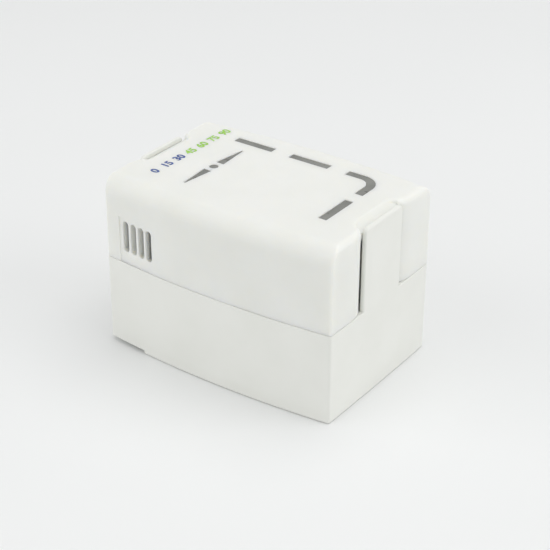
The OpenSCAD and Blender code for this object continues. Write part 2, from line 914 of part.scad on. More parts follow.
// Sockets that hold the two ends of the flat cable
module ribbon_sockets() {
    color([0.15, 0.15, 0.15])
    box([sup_x1 - 4, -5, sup_top], [sup_x1, 6.8, sup_top + 5]);
    color([0.15, 0.15, 0.15])
    box([sup_x1 - 4, -5, board_z - 5], [sup_x1, 6.8, board_z]);
}

// Upper board that carries the light sources
module display_board() {
    color([0.1, 0.35, 0.2])
    difference() {
        union() {
            box([board_x0, board_y0, board_z], [board_x1, board_y1, board_top]);
            box([board_x1 - 1, recess_hw + wall + 1, board_z], [post_x1 + 3.2, board_y1, board_top]);
            box([board_x1 - 1, board_y0, board_z], [post_x1 + 3.2, -recess_hw - wall - 1, board_top]);
        }
        box([board_x0 - 1, board_y0 - 1, board_z - 1], [sense_x1 + 1, sense_y, board_top + 1]);
        for (p = post_at)
            translate([p[0], p[1], board_z - 1])
                cylinder(r = stud_r + 0.1, h = 4);
        for (s = [-1, 1])
            translate([motor_at[0] + s * motor_tab_x - 0.4, motor_at[1] - 1.2, board_z - 1])
                cube([0.8, 2.4, 4]);
        rotate(pos_dir)
            for (k = [-1, 0, 1])
                translate([k * 2.54, 3, board_z - 1])
                    cylinder(r = 0.5, h = 4);
    }
}

module board_screws() {
    color([0.6, 0.6, 0.62])
    for (p = post_at)
        translate([p[0], p[1], board_top])
            screw(1.4, 6, 2.3, 1.6);
}

// Light sources under each stroke of the symbol
module display_leds() {
    x2 = row_x - leg_x - dash_gap - dash_l / 2;
    color([0.95, 0.93, 0.8]) {
        for (d = [0, 1], s = [-1, 1])
            led(x2 - d * (dash_l + dash_gap) + s * dash_l / 4, row_y);
        for (s = [-1, 1])
            led(row_x, end_y + s * dash_l / 4);
        led(row_x - leg_x + 4, row_y);
        led(row_x, row_y - leg_y + 4);
        led(flap_x, flap_y);
        for (s = [-1, 1], k = [5.4, 12])
            led(flap_x, flap_y + s * k);
    }
}

module led(x, y) {
    translate([x - 1.5, y - 1.3, board_top])
        cube([3, 2.6, led_t]);
}

module display_chip() {
    color([0.12, 0.12, 0.12])
    box([-3, -16, board_top], [7, -6, board_top + 1.4]);
}

// Small upright board behind the vent slots
module air_sensor_board() {
    color([0.86, 0.87, 0.85])
    box([sense_x0, sense_y - 1.2, vent_z - 9], [sense_x1, sense_y, board_top]);
}

module air_sensor() {
    color([0.8, 0.8, 0.8])
    translate([(sense_x0 + sense_x1) / 2, sense_y - 1.2, vent_z])
        rotate([90, 0, 0])
            difference() {
                cylinder(r = 4, h = 2.4);
                translate([0, 0, 1.8])
                    cylinder(r = 2.6, h = 2);
            }
}

// White upper half with the end recesses, light windows and vent slots
module cover_shell() {
    color([0.95, 0.95, 0.93])
    difference() {
        union() {
            difference() {
                cover_form(0, cover_z, body_h, top_r, end_top_r);
                translate([0, 0, -1])
                    cover_form(wall, cover_z, body_h - wall + 1, top_r - wall, 0.4);
                corner_cuts(cover_z - 1, body_h + 1);
            }
            recesses(wall, cover_z, body_h - wall / 2, body_l / 2 - wall / 2);
        }
        recesses(0, cover_z - 1, body_h + 1, body_l);
        mouth_cuts(cover_z - 1, body_h + 1);
        translate([0, 0, body_h - wall - 1])
            linear_extrude(wall + 2) {
                frame_strokes(guide_clear);
                flap_strokes(guide_clear);
            }
        vent_cuts();
    }
}

// Slots and the shallow flat around them
module vent_cuts() {
    xa = vent_x0;
    xb = vent_x1;
    ya = -side_y(xa, 0) + vent_flat;
    yb = -side_y(xb, 0);
    for (k = [0:vent_n - 1])
        translate([vent_x + k * vent_pitch, -body_w / 2 + 6, vent_z])
            rotate([90, 0, 0])
                linear_extrude(20) {
                    square([vent_w, vent_l - vent_w], center = true);
                    for (s = [-1, 1])
                        translate([0, s * (vent_l - vent_w) / 2])
                            circle(vent_w / 2);
                }
    translate([xa, ya, cover_z - 1])
        rotate(atan2(yb - ya, xb - xa))
            translate([0, -6, 0])
                cube([norm([xb - xa, yb - ya]), 6, vent_top - cover_z + 1]);
}

// Clear guide with the flap pointers and the dot
module pointer_light_guide() {
    y0 = flap_y - flap_reach - plate_over;
    color([0.6, 0.61, 0.58])
    translate([0, 0, guide_top - guide_t])
        linear_extrude(guide_t)
            translate([flap_x - plate_half, y0])
                square([2 * plate_half, row_y - plate_half - guide_split - y0]);
    color([0.6, 0.61, 0.58])
    translate([0, 0, guide_top - eps])
        linear_extrude(wall - win_drop + eps)
            flap_strokes(0);
}

// Clear guide with the dashes and the corner stroke
module frame_light_guide() {
    x2 = row_x - leg_x - dash_gap - 1.5 * dash_l - dash_gap;
    y3 = end_y - dash_l / 2;
    color([0.6, 0.61, 0.58])
    translate([0, 0, guide_top - guide_t])
        linear_extrude(guide_t) {
            translate([x2 - 2, row_y - plate_half])
                square([row_x + plate_half - x2 + 2, plate_half + 3.4]);
            translate([row_x - plate_half, y3 - 2])
                square([2 * plate_half, row_y - y3 + 2]);
        }
    color([0.6, 0.61, 0.58])
    translate([0, 0, guide_top - eps])
        linear_extrude(wall - win_drop + eps)
            frame_strokes(0);
}

// Latch tongue standing on the base, with a thicker head close to the end of the cover
module latch_tongue() {
    hw = tongue_w / 2;
    r = tongue_corner_r;
    x_in = body_l / 2 - tongue_t;
    intersection() {
        difference() {
            translate([end_c, 0, base_h])
                round_disc(end_R, tongue_top - base_h, tongue_edge_r);
            translate([end_c, 0, base_h - 1])
                cylinder(r = end_R - tongue_t, h = body_h, $fn = big_fn);
        }
        translate([x_in - 2, 0, 0])
            rotate([90, 0, 90])
                linear_extrude(20) {
                    translate([-hw, 0])
                        square([tongue_w, tongue_top - r]);
                    translate([-hw + r, 0])
                        square([tongue_w - 2 * r, tongue_top + 1]);
                    for (s = [-1, 1])
                        translate([s * (hw - r), tongue_top - r])
                            circle(r);
                }
    }
}

module latch_tongue_right() {
    color([0.93, 0.93, 0.91])
    latch_tongue();
}

module latch_tongue_left() {
    color([0.93, 0.93, 0.91])
    mirror([1, 0, 0])
        latch_tongue();
}

// Steel drive shaft with the square spindle socket
module drive_shaft() {
    color([0.68, 0.68, 0.7])
    difference() {
        union() {
            translate([0, 0, 0.4])
                cylinder(r = journal_r, h = out_z - 0.4);
            translate([0, 0, out_z - eps])
                cylinder(r = gear_hex_r, h = out_w + 2 * eps, $fn = 6);
            translate([0, 0, out_top])
                cylinder(r = top_journal_r, h = shaft_top - out_top);
        }
        translate([0, 0, out_top + 0.1])
            tube(top_journal_r + 3, top_journal_r - 0.8, 0, clip_t + 0.1);
        translate([-socket_af / 2, -socket_af / 2, -1])
            cube([socket_af, socket_af, socket_depth + 1]);
        translate([0, 0, shaft_top - 1])
            cylinder(r = 3 + seat_clear, h = 2);
    }
}

// Moulded output gear with a thinned web
module output_gear() {
    color([0.9, 0.88, 0.8])
    difference() {
        spur(mod_out, z_out, 0, out_z, out_w);
        translate([0, 0, out_z - 1])
            cylinder(r = gear_hex_r + seat_clear, h = out_w + 2, $fn = 6);
        tube(mod_out * z_out / 2 - 4, gear_hex_r + 4, out_z - 1, 3.4);
        tube(mod_out * z_out / 2 - 4, gear_hex_r + 4, out_top - 2.4, 3.4);
    }
}

// Spring clip that holds the output gear down
module gear_clip() {
    color([0.35, 0.35, 0.37])
    difference() {
        tube(top_journal_r + 2, top_journal_r - 0.75, out_top + 0.12, clip_t);
        box([0, -2.6, out_top - 1], [20, 2.6, out_top + 5]);
    }
}

// Magnet in the top of the drive shaft
module position_magnet() {
    color([0.5, 0.5, 0.52])
    translate([0, 0, shaft_top - 1])
        cylinder(r = 3, h = magnet_t + 1);
}

// Second reduction gear
module second_gear() {
    color([0.92, 0.9, 0.84])
    translate([two_at[0], two_at[1], 0])
        difference() {
            union() {
                spur(mod_out, z_pin, two_pin_turn, out_z - 0.4, two_z - out_z + 0.4 + eps);
                spur(mod_two, z_two, 0, two_z, two_w);
                translate([0, 0, two_z])
                    cylinder(r = pin_r + 1.6, h = plate_z - axial_gap - two_z);
            }
            translate([0, 0, 0])
                cylinder(r = pin_r + run_clear, h = 60);
        }
}

// First reduction gear
module first_gear() {
    color([0.92, 0.9, 0.84])
    translate([one_at[0], one_at[1], 0])
        difference() {
            union() {
                spur(mod_two, z_pin, one_pin_turn, two_z, one_z - two_z + eps);
                spur(mod_one, z_one, 0, one_z, one_w);
                translate([0, 0, one_z])
                    cylinder(r = pin_r + 1.6, h = plate_z - axial_gap - one_z);
            }
            translate([0, 0, 0])
                cylinder(r = pin_r + run_clear, h = 60);
        }
}

// Motor shaft that comes down through the gear plate
module motor_shaft() {
    color([0.75, 0.75, 0.77])
    translate([motor_at[0], motor_at[1], one_z - 0.5])
        cylinder(r = 1, h = plate_top + motor_l - 2.5 - one_z);
}

// Brass pinion pressed on the motor shaft
module motor_pinion() {
    color([0.8, 0.65, 0.3])
    translate([motor_at[0], motor_at[1], 0])
        difference() {
            spur(mod_one, z_pin, motor_turn, one_z - 0.3, one_w + 0.6);
            cylinder(r = 1 + seat_clear, h = 80);
        }
}

base_shell();
cover_seal();
mounting_inserts();
cable_grommet();
gear_plate();
lower_bush();
upper_bush();
shaft_seal();
second_gear_pin();
first_gear_pin();
motor_can();
motor_end_cap();
motor_terminals();
motor_screws();
board_spacers();
position_board();
position_chip();
position_board_screws();
position_header();
supply_board();
supply_board_screws();
terminal_block();
terminal_screws();
power_module();
supply_capacitor();
ribbon_cable();
ribbon_sockets();
display_board();
board_screws();
display_leds();
display_chip();
air_sensor_board();
air_sensor();
cover_shell();
pointer_light_guide();
frame_light_guide();
latch_tongue_right();
latch_tongue_left();
drive_shaft();
output_gear();
gear_clip();
position_magnet();
second_gear();
first_gear();
motor_shaft();
motor_pinion();
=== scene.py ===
import math
import bpy
import bmesh
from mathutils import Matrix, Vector
from mathutils.kdtree import KDTree


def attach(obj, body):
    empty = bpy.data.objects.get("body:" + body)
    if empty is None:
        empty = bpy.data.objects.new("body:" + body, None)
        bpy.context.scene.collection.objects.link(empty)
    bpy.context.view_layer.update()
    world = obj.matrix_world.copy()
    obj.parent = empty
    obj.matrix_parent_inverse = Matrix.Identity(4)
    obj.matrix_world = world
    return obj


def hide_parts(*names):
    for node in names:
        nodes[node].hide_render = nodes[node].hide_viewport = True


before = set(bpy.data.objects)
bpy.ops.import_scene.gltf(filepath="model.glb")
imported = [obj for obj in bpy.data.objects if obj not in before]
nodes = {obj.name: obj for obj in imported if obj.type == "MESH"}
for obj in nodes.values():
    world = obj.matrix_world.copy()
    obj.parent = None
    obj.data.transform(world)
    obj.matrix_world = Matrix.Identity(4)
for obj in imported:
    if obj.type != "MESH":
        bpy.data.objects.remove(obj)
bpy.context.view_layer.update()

bpy.ops.object.select_all(action="DESELECT")


# Base shell: the white lower half of the head, one thin-walled ABS moulding with a flat floor.
# Its sides and ends bow out a little and meet in nearly sharp upright corners. It carries the
# drive hub, the insert bosses and the posts, and its underside is raised at the cable end.
mm = 0.001
half_length, half_width = 54.0, 35.0
side_bow, end_bow = 3.2, 0.3
side_radius = (half_length ** 2 + side_bow ** 2) / (2 * side_bow)
end_radius = (half_width ** 2 + end_bow ** 2) / (2 * end_bow)
side_centre = half_width + side_bow - side_radius
end_centre = half_length + end_bow - end_radius
upright_round, sharpest_corner = 1.2, 0.3
wall = 2.5
base_height = 39.0
tongue_half, tongue_step = 13.0, 0.02


def side_y(x, inset):
    """Half the width of the plan at x, drawn in by an inset."""
    return side_centre + math.sqrt((side_radius - inset) ** 2 - x * x)


def end_x(y, inset):
    """Half the length of the plan at y, drawn in by an inset."""
    return end_centre + math.sqrt((end_radius - inset) ** 2 - y * y)


def arc(cx, cy, r, start, stop, steps):
    """Points along a round stretch, both its ends among them."""
    angles = [start + (stop - start) / steps * i for i in range(steps + 1)]
    return [(cx + r * math.cos(a), cy + r * math.sin(a)) for a in angles]


def corner_and_side(side_in, end_in, r):
    """The rounded upright corner and the bowed long side after it, in the first quarter of the plan."""
    corner_steps, side_steps = 8, 18
    # The corner's centre is stepped between the two bows until it lies on both.
    cx = half_length - end_in - r
    for _ in range(8):
        cy = side_y(cx, side_in + r)
        cx = end_x(cy, end_in + r)
    bend = arc(cx, cy, r, math.atan2(cy, cx - end_centre), math.atan2(cy - side_centre, cx), corner_steps)
    along = [bend[-1][0] * (1 - i / side_steps) for i in range(1, side_steps + 1)]
    return bend + [(x, side_y(x, side_in)) for x in along]


def whole_plan(quarter, z):
    """Mirrors one quarter of the plan round to a closed ring at height z."""
    flat = quarter + [(-x, y) for x, y in reversed(quarter[:-1])]
    flat += [(-x, -y) for x, y in quarter[1:]] + [(x, -y) for x, y in reversed(quarter[1:-1])]
    return [(x, y, z) for x, y in flat]


def base_ring(z, inset, under_tongue=None):
    """One ring of the base, drawn in by an inset that may differ below the tongue."""
    under_tongue = inset if under_tongue is None else under_tongue
    bend = corner_and_side(inset, inset, max(sharpest_corner, upright_round - inset))
    flush = [(end_x(y, under_tongue), y) for y in (0, 3, 6, 9, 12, tongue_half - tongue_step)]
    low, high = tongue_half + tongue_step, bend[0][1]
    rest = [low + (high - low) * i / 8 for i in range(8)]
    return whole_plan(flush + [(end_x(y, inset), y) for y in rest] + bend, z)


def stack_rings(name, rings):
    """A closed solid drawn up from a filled ring by one extrusion for each ring after it."""
    bpy.ops.object.select_all(action="DESELECT")
    bpy.ops.mesh.primitive_circle_add(vertices=len(rings[0]), radius=20 * mm, fill_type="NGON")
    piece = bpy.context.object
    piece.name = name
    piece.data.name = name
    bpy.ops.object.mode_set(mode="EDIT")
    mesh = bmesh.from_edit_mesh(piece.data)
    mesh.verts.ensure_lookup_table()
    for vert, place in zip(mesh.verts, rings[0]):
        vert.co = Vector(place) * mm
    for below, above in zip(rings, rings[1:]):
        bpy.ops.mesh.extrude_region_move()
        mesh = bmesh.from_edit_mesh(piece.data)
        nearest = KDTree(len(below))
        for i, place in enumerate(below):
            nearest.insert(Vector(place) * mm, i)
        nearest.balance()
        for vert in [v for v in mesh.verts if v.select]:
            vert.co = Vector(above[nearest.find(vert.co)[1]]) * mm
        bmesh.update_edit_mesh(piece.data)
    bpy.ops.mesh.select_all(action="SELECT")
    bpy.ops.mesh.normals_make_consistent(inside=False)
    bpy.ops.object.mode_set(mode="OBJECT")
    return piece


foot_round, base_rim_round = 0.5, 0.35
lip_top, lip_foot, lip_root = 41.4, 35.4, 34.3
lip_outer, lip_inner = 2.75, 4.15
lip_round, lip_round_middle = 0.3, 0.08
floor_top, floor_round, floor_round_middle = 3.5, 1.0, 0.3
foot_rings, rim_rings = [], []
for a in (0, 0.4, 0.8, 1.2, math.pi / 2):
    foot_rings.append(base_ring(foot_round - foot_round * math.cos(a), foot_round - foot_round * math.sin(a)))
    rim_z = base_height - base_rim_round + base_rim_round * math.sin(a)
    rim_rings.append(base_ring(rim_z, base_rim_round - base_rim_round * math.cos(a), 0.0))
inner_rings = [base_ring(z, inset) for z, inset in (
    (base_height, lip_outer),
    (lip_top - lip_round, lip_outer),
    (lip_top - lip_round_middle, lip_outer + lip_round_middle),
    (lip_top, lip_outer + lip_round),
    (lip_top, lip_inner - lip_round),
    (lip_top - lip_round_middle, lip_inner - lip_round_middle),
    (lip_top - lip_round, lip_inner),
    (lip_foot + lip_round, lip_inner),
    (lip_foot, lip_inner - lip_round),
    (lip_root, wall),
    (floor_top + floor_round, wall),
    (floor_top + floor_round_middle, wall + floor_round_middle),
    (floor_top, wall + floor_round))]
base_shell = stack_rings("base_housing", foot_rings + rim_rings + inner_rings)


def post(x, y, low, high, r, soft=0.0, sides=40):
    """An upright post or round cutter, with its top edge softened where that is asked for."""
    bpy.ops.object.select_all(action="DESELECT")
    bpy.ops.mesh.primitive_cylinder_add(vertices=sides, radius=r * mm, depth=(high - low) * mm,
                                        location=(x * mm, y * mm, (low + high) / 2 * mm))
    piece = bpy.context.object
    if soft:
        bpy.ops.object.mode_set(mode="EDIT")
        mesh = bmesh.from_edit_mesh(piece.data)
        bpy.ops.mesh.select_all(action="DESELECT")
        bpy.ops.mesh.select_mode(type="EDGE")
        top = max(v.co.z for v in mesh.verts)
        for edge in mesh.edges:
            edge.select = all(abs(v.co.z - top) < 1e-7 for v in edge.verts)
        bmesh.update_edit_mesh(piece.data)
        bpy.ops.mesh.bevel(offset=soft * mm, segments=3, affect="EDGES")
        bpy.ops.object.mode_set(mode="OBJECT")
    bpy.ops.object.transform_apply(location=True, rotation=True, scale=True)
    return piece


def block(low, high):
    """A plain block between two corners."""
    bpy.ops.object.select_all(action="DESELECT")
    size = Vector(high) - Vector(low)
    bpy.ops.mesh.primitive_cube_add(size=1, location=(Vector(low) + size / 2) * mm, scale=size * mm)
    bpy.ops.object.transform_apply(location=True, rotation=True, scale=True)
    return bpy.context.object


def end_blocks(middle, reach, half, low, high):
    """A pair of like blocks, one in each end of the base."""
    return [block((s * middle - reach, -half, low), (s * middle + reach, half, high)) for s in (-1, 1)]


def gather(pieces):
    """Joins pieces into the first one."""
    bpy.ops.object.select_all(action="DESELECT")
    for piece in pieces:
        piece.select_set(True)
    bpy.context.view_layer.objects.active = pieces[0]
    if len(pieces) > 1:
        bpy.ops.object.join()
    return pieces[0]


def carve(piece, tools, operation="DIFFERENCE"):
    """Cuts the tools out of a piece, or with UNION grows them onto it."""
    tool = gather(tools)
    bpy.ops.object.select_all(action="DESELECT")
    piece.select_set(True)
    bpy.context.view_layer.objects.active = piece
    cut = piece.modifiers.new("carve", "BOOLEAN")
    cut.operation = operation
    cut.solver = "EXACT"
    cut.object = tool
    bpy.ops.object.modifier_apply(modifier=cut.name)
    bpy.data.objects.remove(tool)


boss_foot = 2.0
hub_top, hub_round = 9.6, 13.0
insert_circle, insert_boss = 18.0, 5.2
insert_turns = [math.radians(a) for a in (45, 135, 225, 315)]
insert_places = [(insert_circle * math.cos(a), insert_circle * math.sin(a)) for a in insert_turns]
plate_posts = [(-17.0, -28.5), (-17.0, 28.5), (46.5, -27.0), (46.5, 27.0)]
post_top, post_round = 32.0, 3.4
gear_pins = [(27.863, -13.590, 10.2), (32.187, 6.756, 20.1)]
pin_boss = 3.9
board_feet = [(-46.8, -24.5, 2.6), (-46.8, 24.5, 2.6), (-32.5, -24.5, 2.2), (-32.5, 24.5, 2.2)]
board_foot_top = 7.0
bosses = [post(0, 0, boss_foot, hub_top, hub_round, 0.4, sides=72)]
bosses += [post(x, y, boss_foot, post_top, post_round, 0.3) for x, y in plate_posts]
bosses += [post(x, y, boss_foot, top, pin_boss, 0.3) for x, y, top in gear_pins]
bosses += [post(x, y, boss_foot, board_foot_top, r, 0.2) for x, y, r in board_feet]
carve(base_shell, bosses, "UNION")
carve(base_shell, [post(x, y, boss_foot, hub_top, insert_boss, 0.3) for x, y in insert_places], "UNION")

shelf_middle, shelf_reach, shelf_half, shelf_deep = 49.4, 3.8, 17.1, 2.6
gap_middle, gap_reach, gap_half, gap_high = 51.3, 5.8, 17.2, 5.0
carve(base_shell, end_blocks(gap_middle, gap_reach, gap_half, base_height, base_height + gap_high))
shelves = end_blocks(shelf_middle, shelf_reach, shelf_half, base_height - shelf_deep, base_height)
carve(base_shell, shelves, "UNION")

step_edge, step_high = -35.2, 1.6
clear_x, clear_y, clear_z = 70.0, 50.0, 5.0
below, above_hub, above_posts = -3.0, 30.0, 40.0
shaft_hole, bush_seat, bush_seat_low = 8.4, 10.03, 0.8
insert_hole, insert_deep = 3.53, 8.6
pin_hole, post_hole_low, pin_hole_low = 1.53, 22.0, 2.3
openings = [block((-clear_x, -clear_y, -clear_z), (step_edge, clear_y, step_high))]
openings.append(post(0, 0, below, above_hub, shaft_hole, sides=72))
openings += [post(x, y, below, insert_deep, insert_hole) for x, y in insert_places]
openings += [post(x, y, post_hole_low, above_posts, pin_hole) for x, y in plate_posts]
openings += [post(x, y, pin_hole_low, above_posts, pin_hole) for x, y, _ in gear_pins]
carve(base_shell, openings)
carve(base_shell, [post(0, 0, bush_seat_low, above_hub, bush_seat, sides=72)])


def lying_plug(x0, x1, y, z, r):
    """A round cutter that lies along the head."""
    bpy.ops.object.select_all(action="DESELECT")
    bpy.ops.mesh.primitive_cylinder_add(vertices=64, radius=r * mm, depth=(x1 - x0) * mm,
                                        rotation=(0, math.pi / 2, 0),
                                        location=((x0 + x1) / 2 * mm, y * mm, z * mm))
    bpy.ops.object.transform_apply(location=True, rotation=True, scale=True)
    return bpy.context.object


grommet_y, grommet_z = -9.515, 17.0
grommet_face = -end_x(grommet_y, 0)
collar_deep, collar_round = 1.2, 7.6
cable_deep, cable_round = 7.0, 5.5
for deep, r in ((collar_deep, collar_round), (cable_deep, cable_round)):
    carve(base_shell, [lying_plug(grommet_face - 2, grommet_face + deep, grommet_y, grommet_z, r)])


def clean_and_smooth(piece, angle=34, weld=0.002 * mm):
    """Merges stray points, then smooths every edge flatter than the angle."""
    bpy.ops.object.select_all(action="DESELECT")
    piece.select_set(True)
    bpy.context.view_layer.objects.active = piece
    bpy.ops.object.mode_set(mode="EDIT")
    bpy.ops.mesh.select_all(action="SELECT")
    bpy.ops.mesh.remove_doubles(threshold=weld)
    bpy.ops.mesh.dissolve_degenerate(threshold=weld)
    bpy.ops.object.mode_set(mode="OBJECT")
    bpy.ops.object.shade_smooth_by_angle(angle=math.radians(angle))
    even = piece.modifiers.new("even", "WEIGHTED_NORMAL")
    even.keep_sharp = True
    even.weight = 60
    bpy.ops.object.modifier_apply(modifier=even.name)


def blank_finish(name):
    """A new material with its object coordinates and its shader."""
    finish = bpy.data.materials.new(name)
    finish.use_nodes = True
    tree = finish.node_tree
    shader = next(n for n in tree.nodes if n.type == "BSDF_PRINCIPLED")
    place = tree.nodes.new("ShaderNodeTexCoord").outputs["Object"]
    return finish, tree, shader, place


def cloud(tree, place, scale, detail=2.0, stretch=None):
    """Noise of a given scale, drawn out along an axis where a stretch is given."""
    if stretch:
        turn = tree.nodes.new("ShaderNodeMapping")
        turn.inputs["Scale"].default_value = stretch
        tree.links.new(place, turn.inputs["Vector"])
        place = turn.outputs["Vector"]
    noise = tree.nodes.new("ShaderNodeTexNoise")
    noise.inputs["Scale"].default_value = scale
    noise.inputs["Detail"].default_value = detail
    tree.links.new(place, noise.inputs["Vector"])
    return noise.outputs["Fac"]


def spread(tree, value, low, high):
    """Maps a noise value to a range."""
    between = tree.nodes.new("ShaderNodeMapRange")
    between.inputs["From Min"].default_value = 0.3
    between.inputs["From Max"].default_value = 0.7
    between.inputs["To Min"].default_value = low
    between.inputs["To Max"].default_value = high
    tree.links.new(value, between.inputs["Value"])
    return between.outputs["Result"]


def two_tones(tree, value, dark, light):
    """Blends two colours by a noise value."""
    ramp = tree.nodes.new("ShaderNodeValToRGB")
    ramp.color_ramp.elements[0].position = 0.35
    ramp.color_ramp.elements[1].position = 0.65
    ramp.color_ramp.elements[0].color = (*dark, 1)
    ramp.color_ramp.elements[1].color = (*light, 1)
    tree.links.new(value, ramp.inputs["Fac"])
    return ramp.outputs["Color"]


def relief(tree, shader, value, strength, depth):
    """Raises the surface by a noise value."""
    bump = tree.nodes.new("ShaderNodeBump")
    bump.inputs["Strength"].default_value = strength
    bump.inputs["Distance"].default_value = depth
    tree.links.new(value, bump.inputs["Height"])
    tree.links.new(bump.outputs["Normal"], shader.inputs["Normal"])


def moulded_plastic(name, dark, light, rough, grain, strength, cloud_scale=45.0):
    """Moulded plastic: a faint cloud in the colour, a fine spark-eroded grain and uneven gloss."""
    finish, tree, shader, place = blank_finish(name)
    colour = two_tones(tree, cloud(tree, place, cloud_scale, 3), dark, light)
    gloss = spread(tree, cloud(tree, place, 260, 2), rough - 0.04, rough + 0.05)
    tree.links.new(colour, shader.inputs["Base Color"])
    tree.links.new(gloss, shader.inputs["Roughness"])
    relief(tree, shader, cloud(tree, place, 1 / (grain * mm), 2), strength, 0.03 * mm)
    return finish


def give(finish, *pieces):
    """Puts one finish on every slot of each piece."""
    for piece in pieces:
        piece.data.materials.clear()
        piece.data.materials.append(finish)


white_dark, white_light = (0.822, 0.829, 0.785), (0.846, 0.852, 0.812)
white_rough, white_grain, white_relief = 0.46, 0.42, 0.10
white_plastic = moulded_plastic("white_plastic", white_dark, white_light,
                                white_rough, white_grain, white_relief)
clean_and_smooth(base_shell)
give(white_plastic, base_shell)
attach(base_shell, "base")
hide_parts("base_shell")


# Brass pieces, turned or drawn from bar: the threaded inserts pressed into the underside, the hex
# spacers that clamp the gear plate to the posts, and the pinion pressed on the motor's shaft.
def turned_metal(name, dark, light, rough, scratch):
    """Machined metal with fine tool lines and a slightly uneven gloss."""
    finish, tree, shader, place = blank_finish(name)
    lines = cloud(tree, place, scratch, 3, (1.0, 1.0, 14.0))
    tree.links.new(two_tones(tree, cloud(tree, place, 180, 3), dark, light), shader.inputs["Base Color"])
    tree.links.new(spread(tree, lines, rough - 0.07, rough + 0.1), shader.inputs["Roughness"])
    relief(tree, shader, lines, 0.12, 0.02 * mm)
    shader.inputs["Metallic"].default_value = 1.0
    return finish


brass = turned_metal("brass", (0.62, 0.42, 0.15), (0.74, 0.53, 0.22), 0.32, 420)
give(brass, nodes["mounting_inserts"], nodes["board_spacers"], nodes["motor_pinion"])


# Rubber pieces: the pale sealing cord in the seam, and the wiper ring on the shaft and the cable
# grommet in dark rubber. All are moulded, with a dull, slightly dusty skin, and held by their fit.
pale_rubber = moulded_plastic("pale_rubber", (0.60, 0.60, 0.565), (0.66, 0.66, 0.625), 0.75, 0.3, 0.2, 300)
give(pale_rubber, nodes["cover_seal"])
rubber_dark, rubber_light = (0.020, 0.020, 0.020), (0.034, 0.034, 0.033)
dark_rubber = moulded_plastic("dark_rubber", rubber_dark, rubber_light, 0.78, 0.3, 0.25, 300)
give(dark_rubber, nodes["shaft_seal"], nodes["cable_grommet"])


# Bushes of sintered bronze that carry the drive shaft in the floor and in the gear plate. They are
# pressed into their seats, and the pores show as a fine dark speckle.
bronze = turned_metal("bronze", (0.36, 0.21, 0.09), (0.50, 0.31, 0.15), 0.45, 900)
give(bronze, nodes["lower_bush"], nodes["upper_bush"])


# Steel pieces: the drive shaft with its square socket, gear pins, motor shaft and terminals, spring
# clip and all the small screws, ground, stamped or rolled and lightly plated.
steel = turned_metal("steel", (0.46, 0.46, 0.47), (0.60, 0.60, 0.61), 0.34, 380)
give(steel, *(nodes[n] for n in (
    "drive_shaft", "second_gear_pin", "first_gear_pin", "motor_shaft", "gear_clip", "motor_terminals",
    "motor_screws", "board_screws", "position_board_screws", "supply_board_screws", "terminal_screws")))


# Gears moulded in ivory acetal, slick and faintly clouded. The largest is held on the drive shaft
# by the spring clip, and the other two run on the steel pins.
ivory_acetal = moulded_plastic("ivory_acetal", (0.66, 0.62, 0.50), (0.72, 0.68, 0.57), 0.33, 0.6, 0.05, 70)
give(ivory_acetal, nodes["output_gear"], nodes["second_gear"], nodes["first_gear"])


# Gear plate moulded in glass-filled grey nylon, which shows a fine pale fleck. It lies on the posts
# of the base under the spacers, and carries the motor and the upper bush.
grey_nylon = moulded_plastic("grey_nylon", (0.13, 0.14, 0.15), (0.18, 0.19, 0.20), 0.52, 0.25, 0.25, 420)
give(grey_nylon, nodes["gear_plate"])


# Motor: a deep-drawn can of plated steel closed by a black brush cap. The magnet of the position
# sensor, plated too, sits on the drive shaft, and the black cap's plastic also makes the chips,
# the power module and the sockets.
plated_can = turned_metal("plated_can", (0.52, 0.53, 0.54), (0.64, 0.65, 0.66), 0.26, 240)
give(plated_can, nodes["motor_can"])
magnet = turned_metal("magnet", (0.30, 0.30, 0.32), (0.38, 0.38, 0.40), 0.24, 300)
give(magnet, nodes["position_magnet"])
black_dark, black_light = (0.018, 0.018, 0.020), (0.032, 0.032, 0.034)
black_plastic = moulded_plastic("black_plastic", black_dark, black_light, 0.42, 0.3, 0.15, 220)
give(black_plastic, *(nodes[n] for n in (
    "motor_end_cap", "position_chip", "power_module", "ribbon_sockets", "display_chip")))


# Circuit boards of glass epoxy under a green solder mask, and the small sensor board under a white
# one. They are screwed down, and their copper tracks show as lighter, slightly raised lines.
def circuit_board(name, dark, light, track):
    """Solder mask over broken runs of tracks in two directions."""
    finish, tree, shader, place = blank_finish(name)

    def worked(operation, first, second):
        step = tree.nodes.new("ShaderNodeMath")
        step.operation = operation
        tree.links.new(first, step.inputs[0])
        if isinstance(second, float):
            step.inputs[1].default_value = second
        else:
            tree.links.new(second, step.inputs[1])
        return step.outputs[0]

    runs = []
    for direction, stretch in (("X", (1, 1, 0.2)), ("Y", (0.7, 1.3, 0.2))):
        wave = tree.nodes.new("ShaderNodeTexWave")
        wave.bands_direction = direction
        wave.inputs["Scale"].default_value = 62.0
        wave.inputs["Distortion"].default_value = 0.0
        tree.links.new(place, wave.inputs["Vector"])
        line = worked("GREATER_THAN", wave.outputs["Fac"], 0.86)
        patch = worked("GREATER_THAN", cloud(tree, place, 90, 1, stretch), 0.52)
        runs.append(worked("MULTIPLY", line, patch))
    tracks = worked("MAXIMUM", *runs)
    mix = tree.nodes.new("ShaderNodeMix")
    mix.data_type = "RGBA"
    tree.links.new(tracks, mix.inputs["Factor"])
    tree.links.new(two_tones(tree, cloud(tree, place, 120, 2), dark, light), mix.inputs["A"])
    mix.inputs["B"].default_value = (*track, 1)
    tree.links.new(mix.outputs["Result"], shader.inputs["Base Color"])
    tree.links.new(spread(tree, cloud(tree, place, 500, 2), 0.26, 0.36), shader.inputs["Roughness"])
    relief(tree, shader, tracks, 0.2, 0.03 * mm)
    return finish


